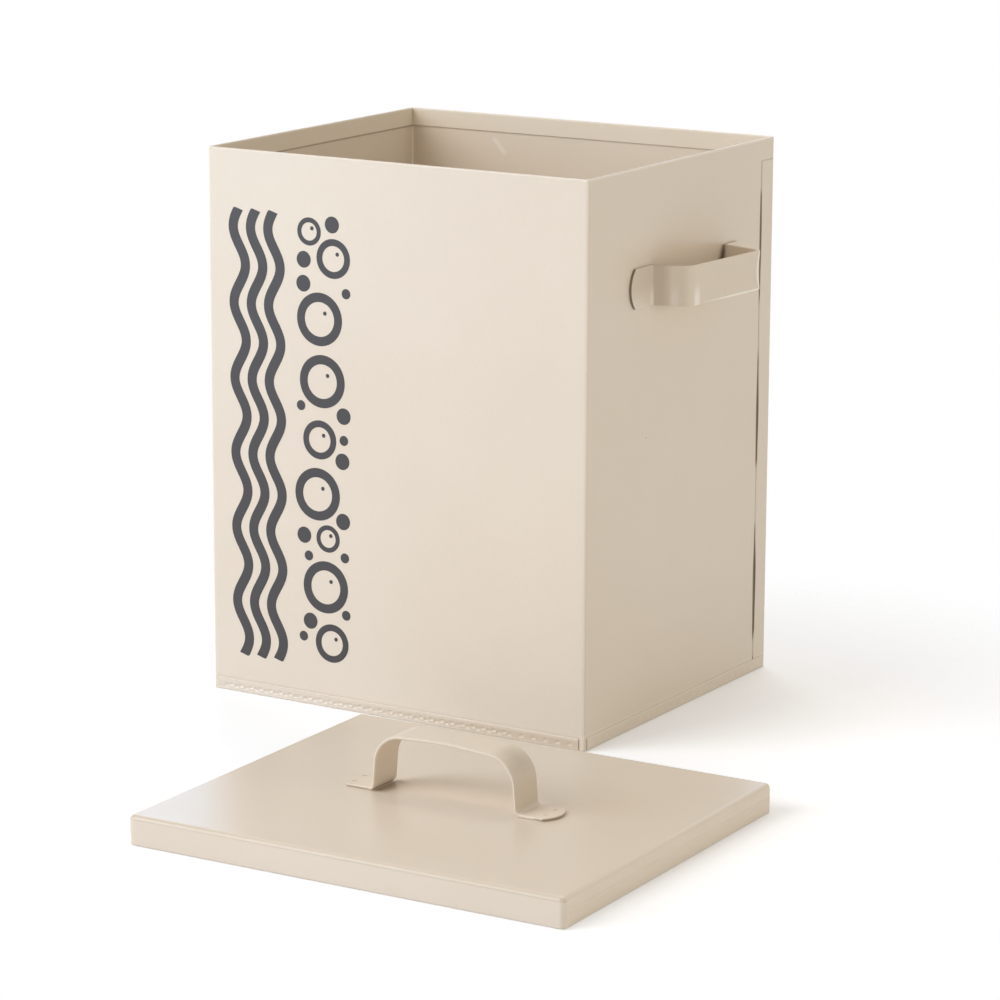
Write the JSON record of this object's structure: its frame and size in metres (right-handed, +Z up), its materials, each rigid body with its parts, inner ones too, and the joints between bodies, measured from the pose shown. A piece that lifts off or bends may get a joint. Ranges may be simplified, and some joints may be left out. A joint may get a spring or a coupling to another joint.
{
  "type": "detergent storage box with lid",
  "caption": "Tall rectangular box folded from painted sheet steel, with hemmed rim, seamed bottom, strap side handles and a slip-over lid with a strap handle lying beside it.",
  "frame": {"origin": "middle of the box's flat underside, on the surface that it stands on", "axes": "+Z up, the box's front faces -Y, +X to the right seen from the front; the lid lies in front of the box and to the right"},
  "size_m": [0.3172, 0.3625, 0.24],
  "materials": {
    "painted_sheet": "satin warm beige enamel paint",
    "painted_strap": "satin warm beige enamel paint",
    "print": "matt dark grey screen print"
  },
  "bodies": {
    "root": {"body_shell": "painted_sheet", "bottom_plate": "painted_sheet", "lid_shell": "painted_sheet", "side_handle_right": "painted_strap", "side_handle_left": "painted_strap", "lid_handle": "painted_strap"}
  },
  "joints": []
}
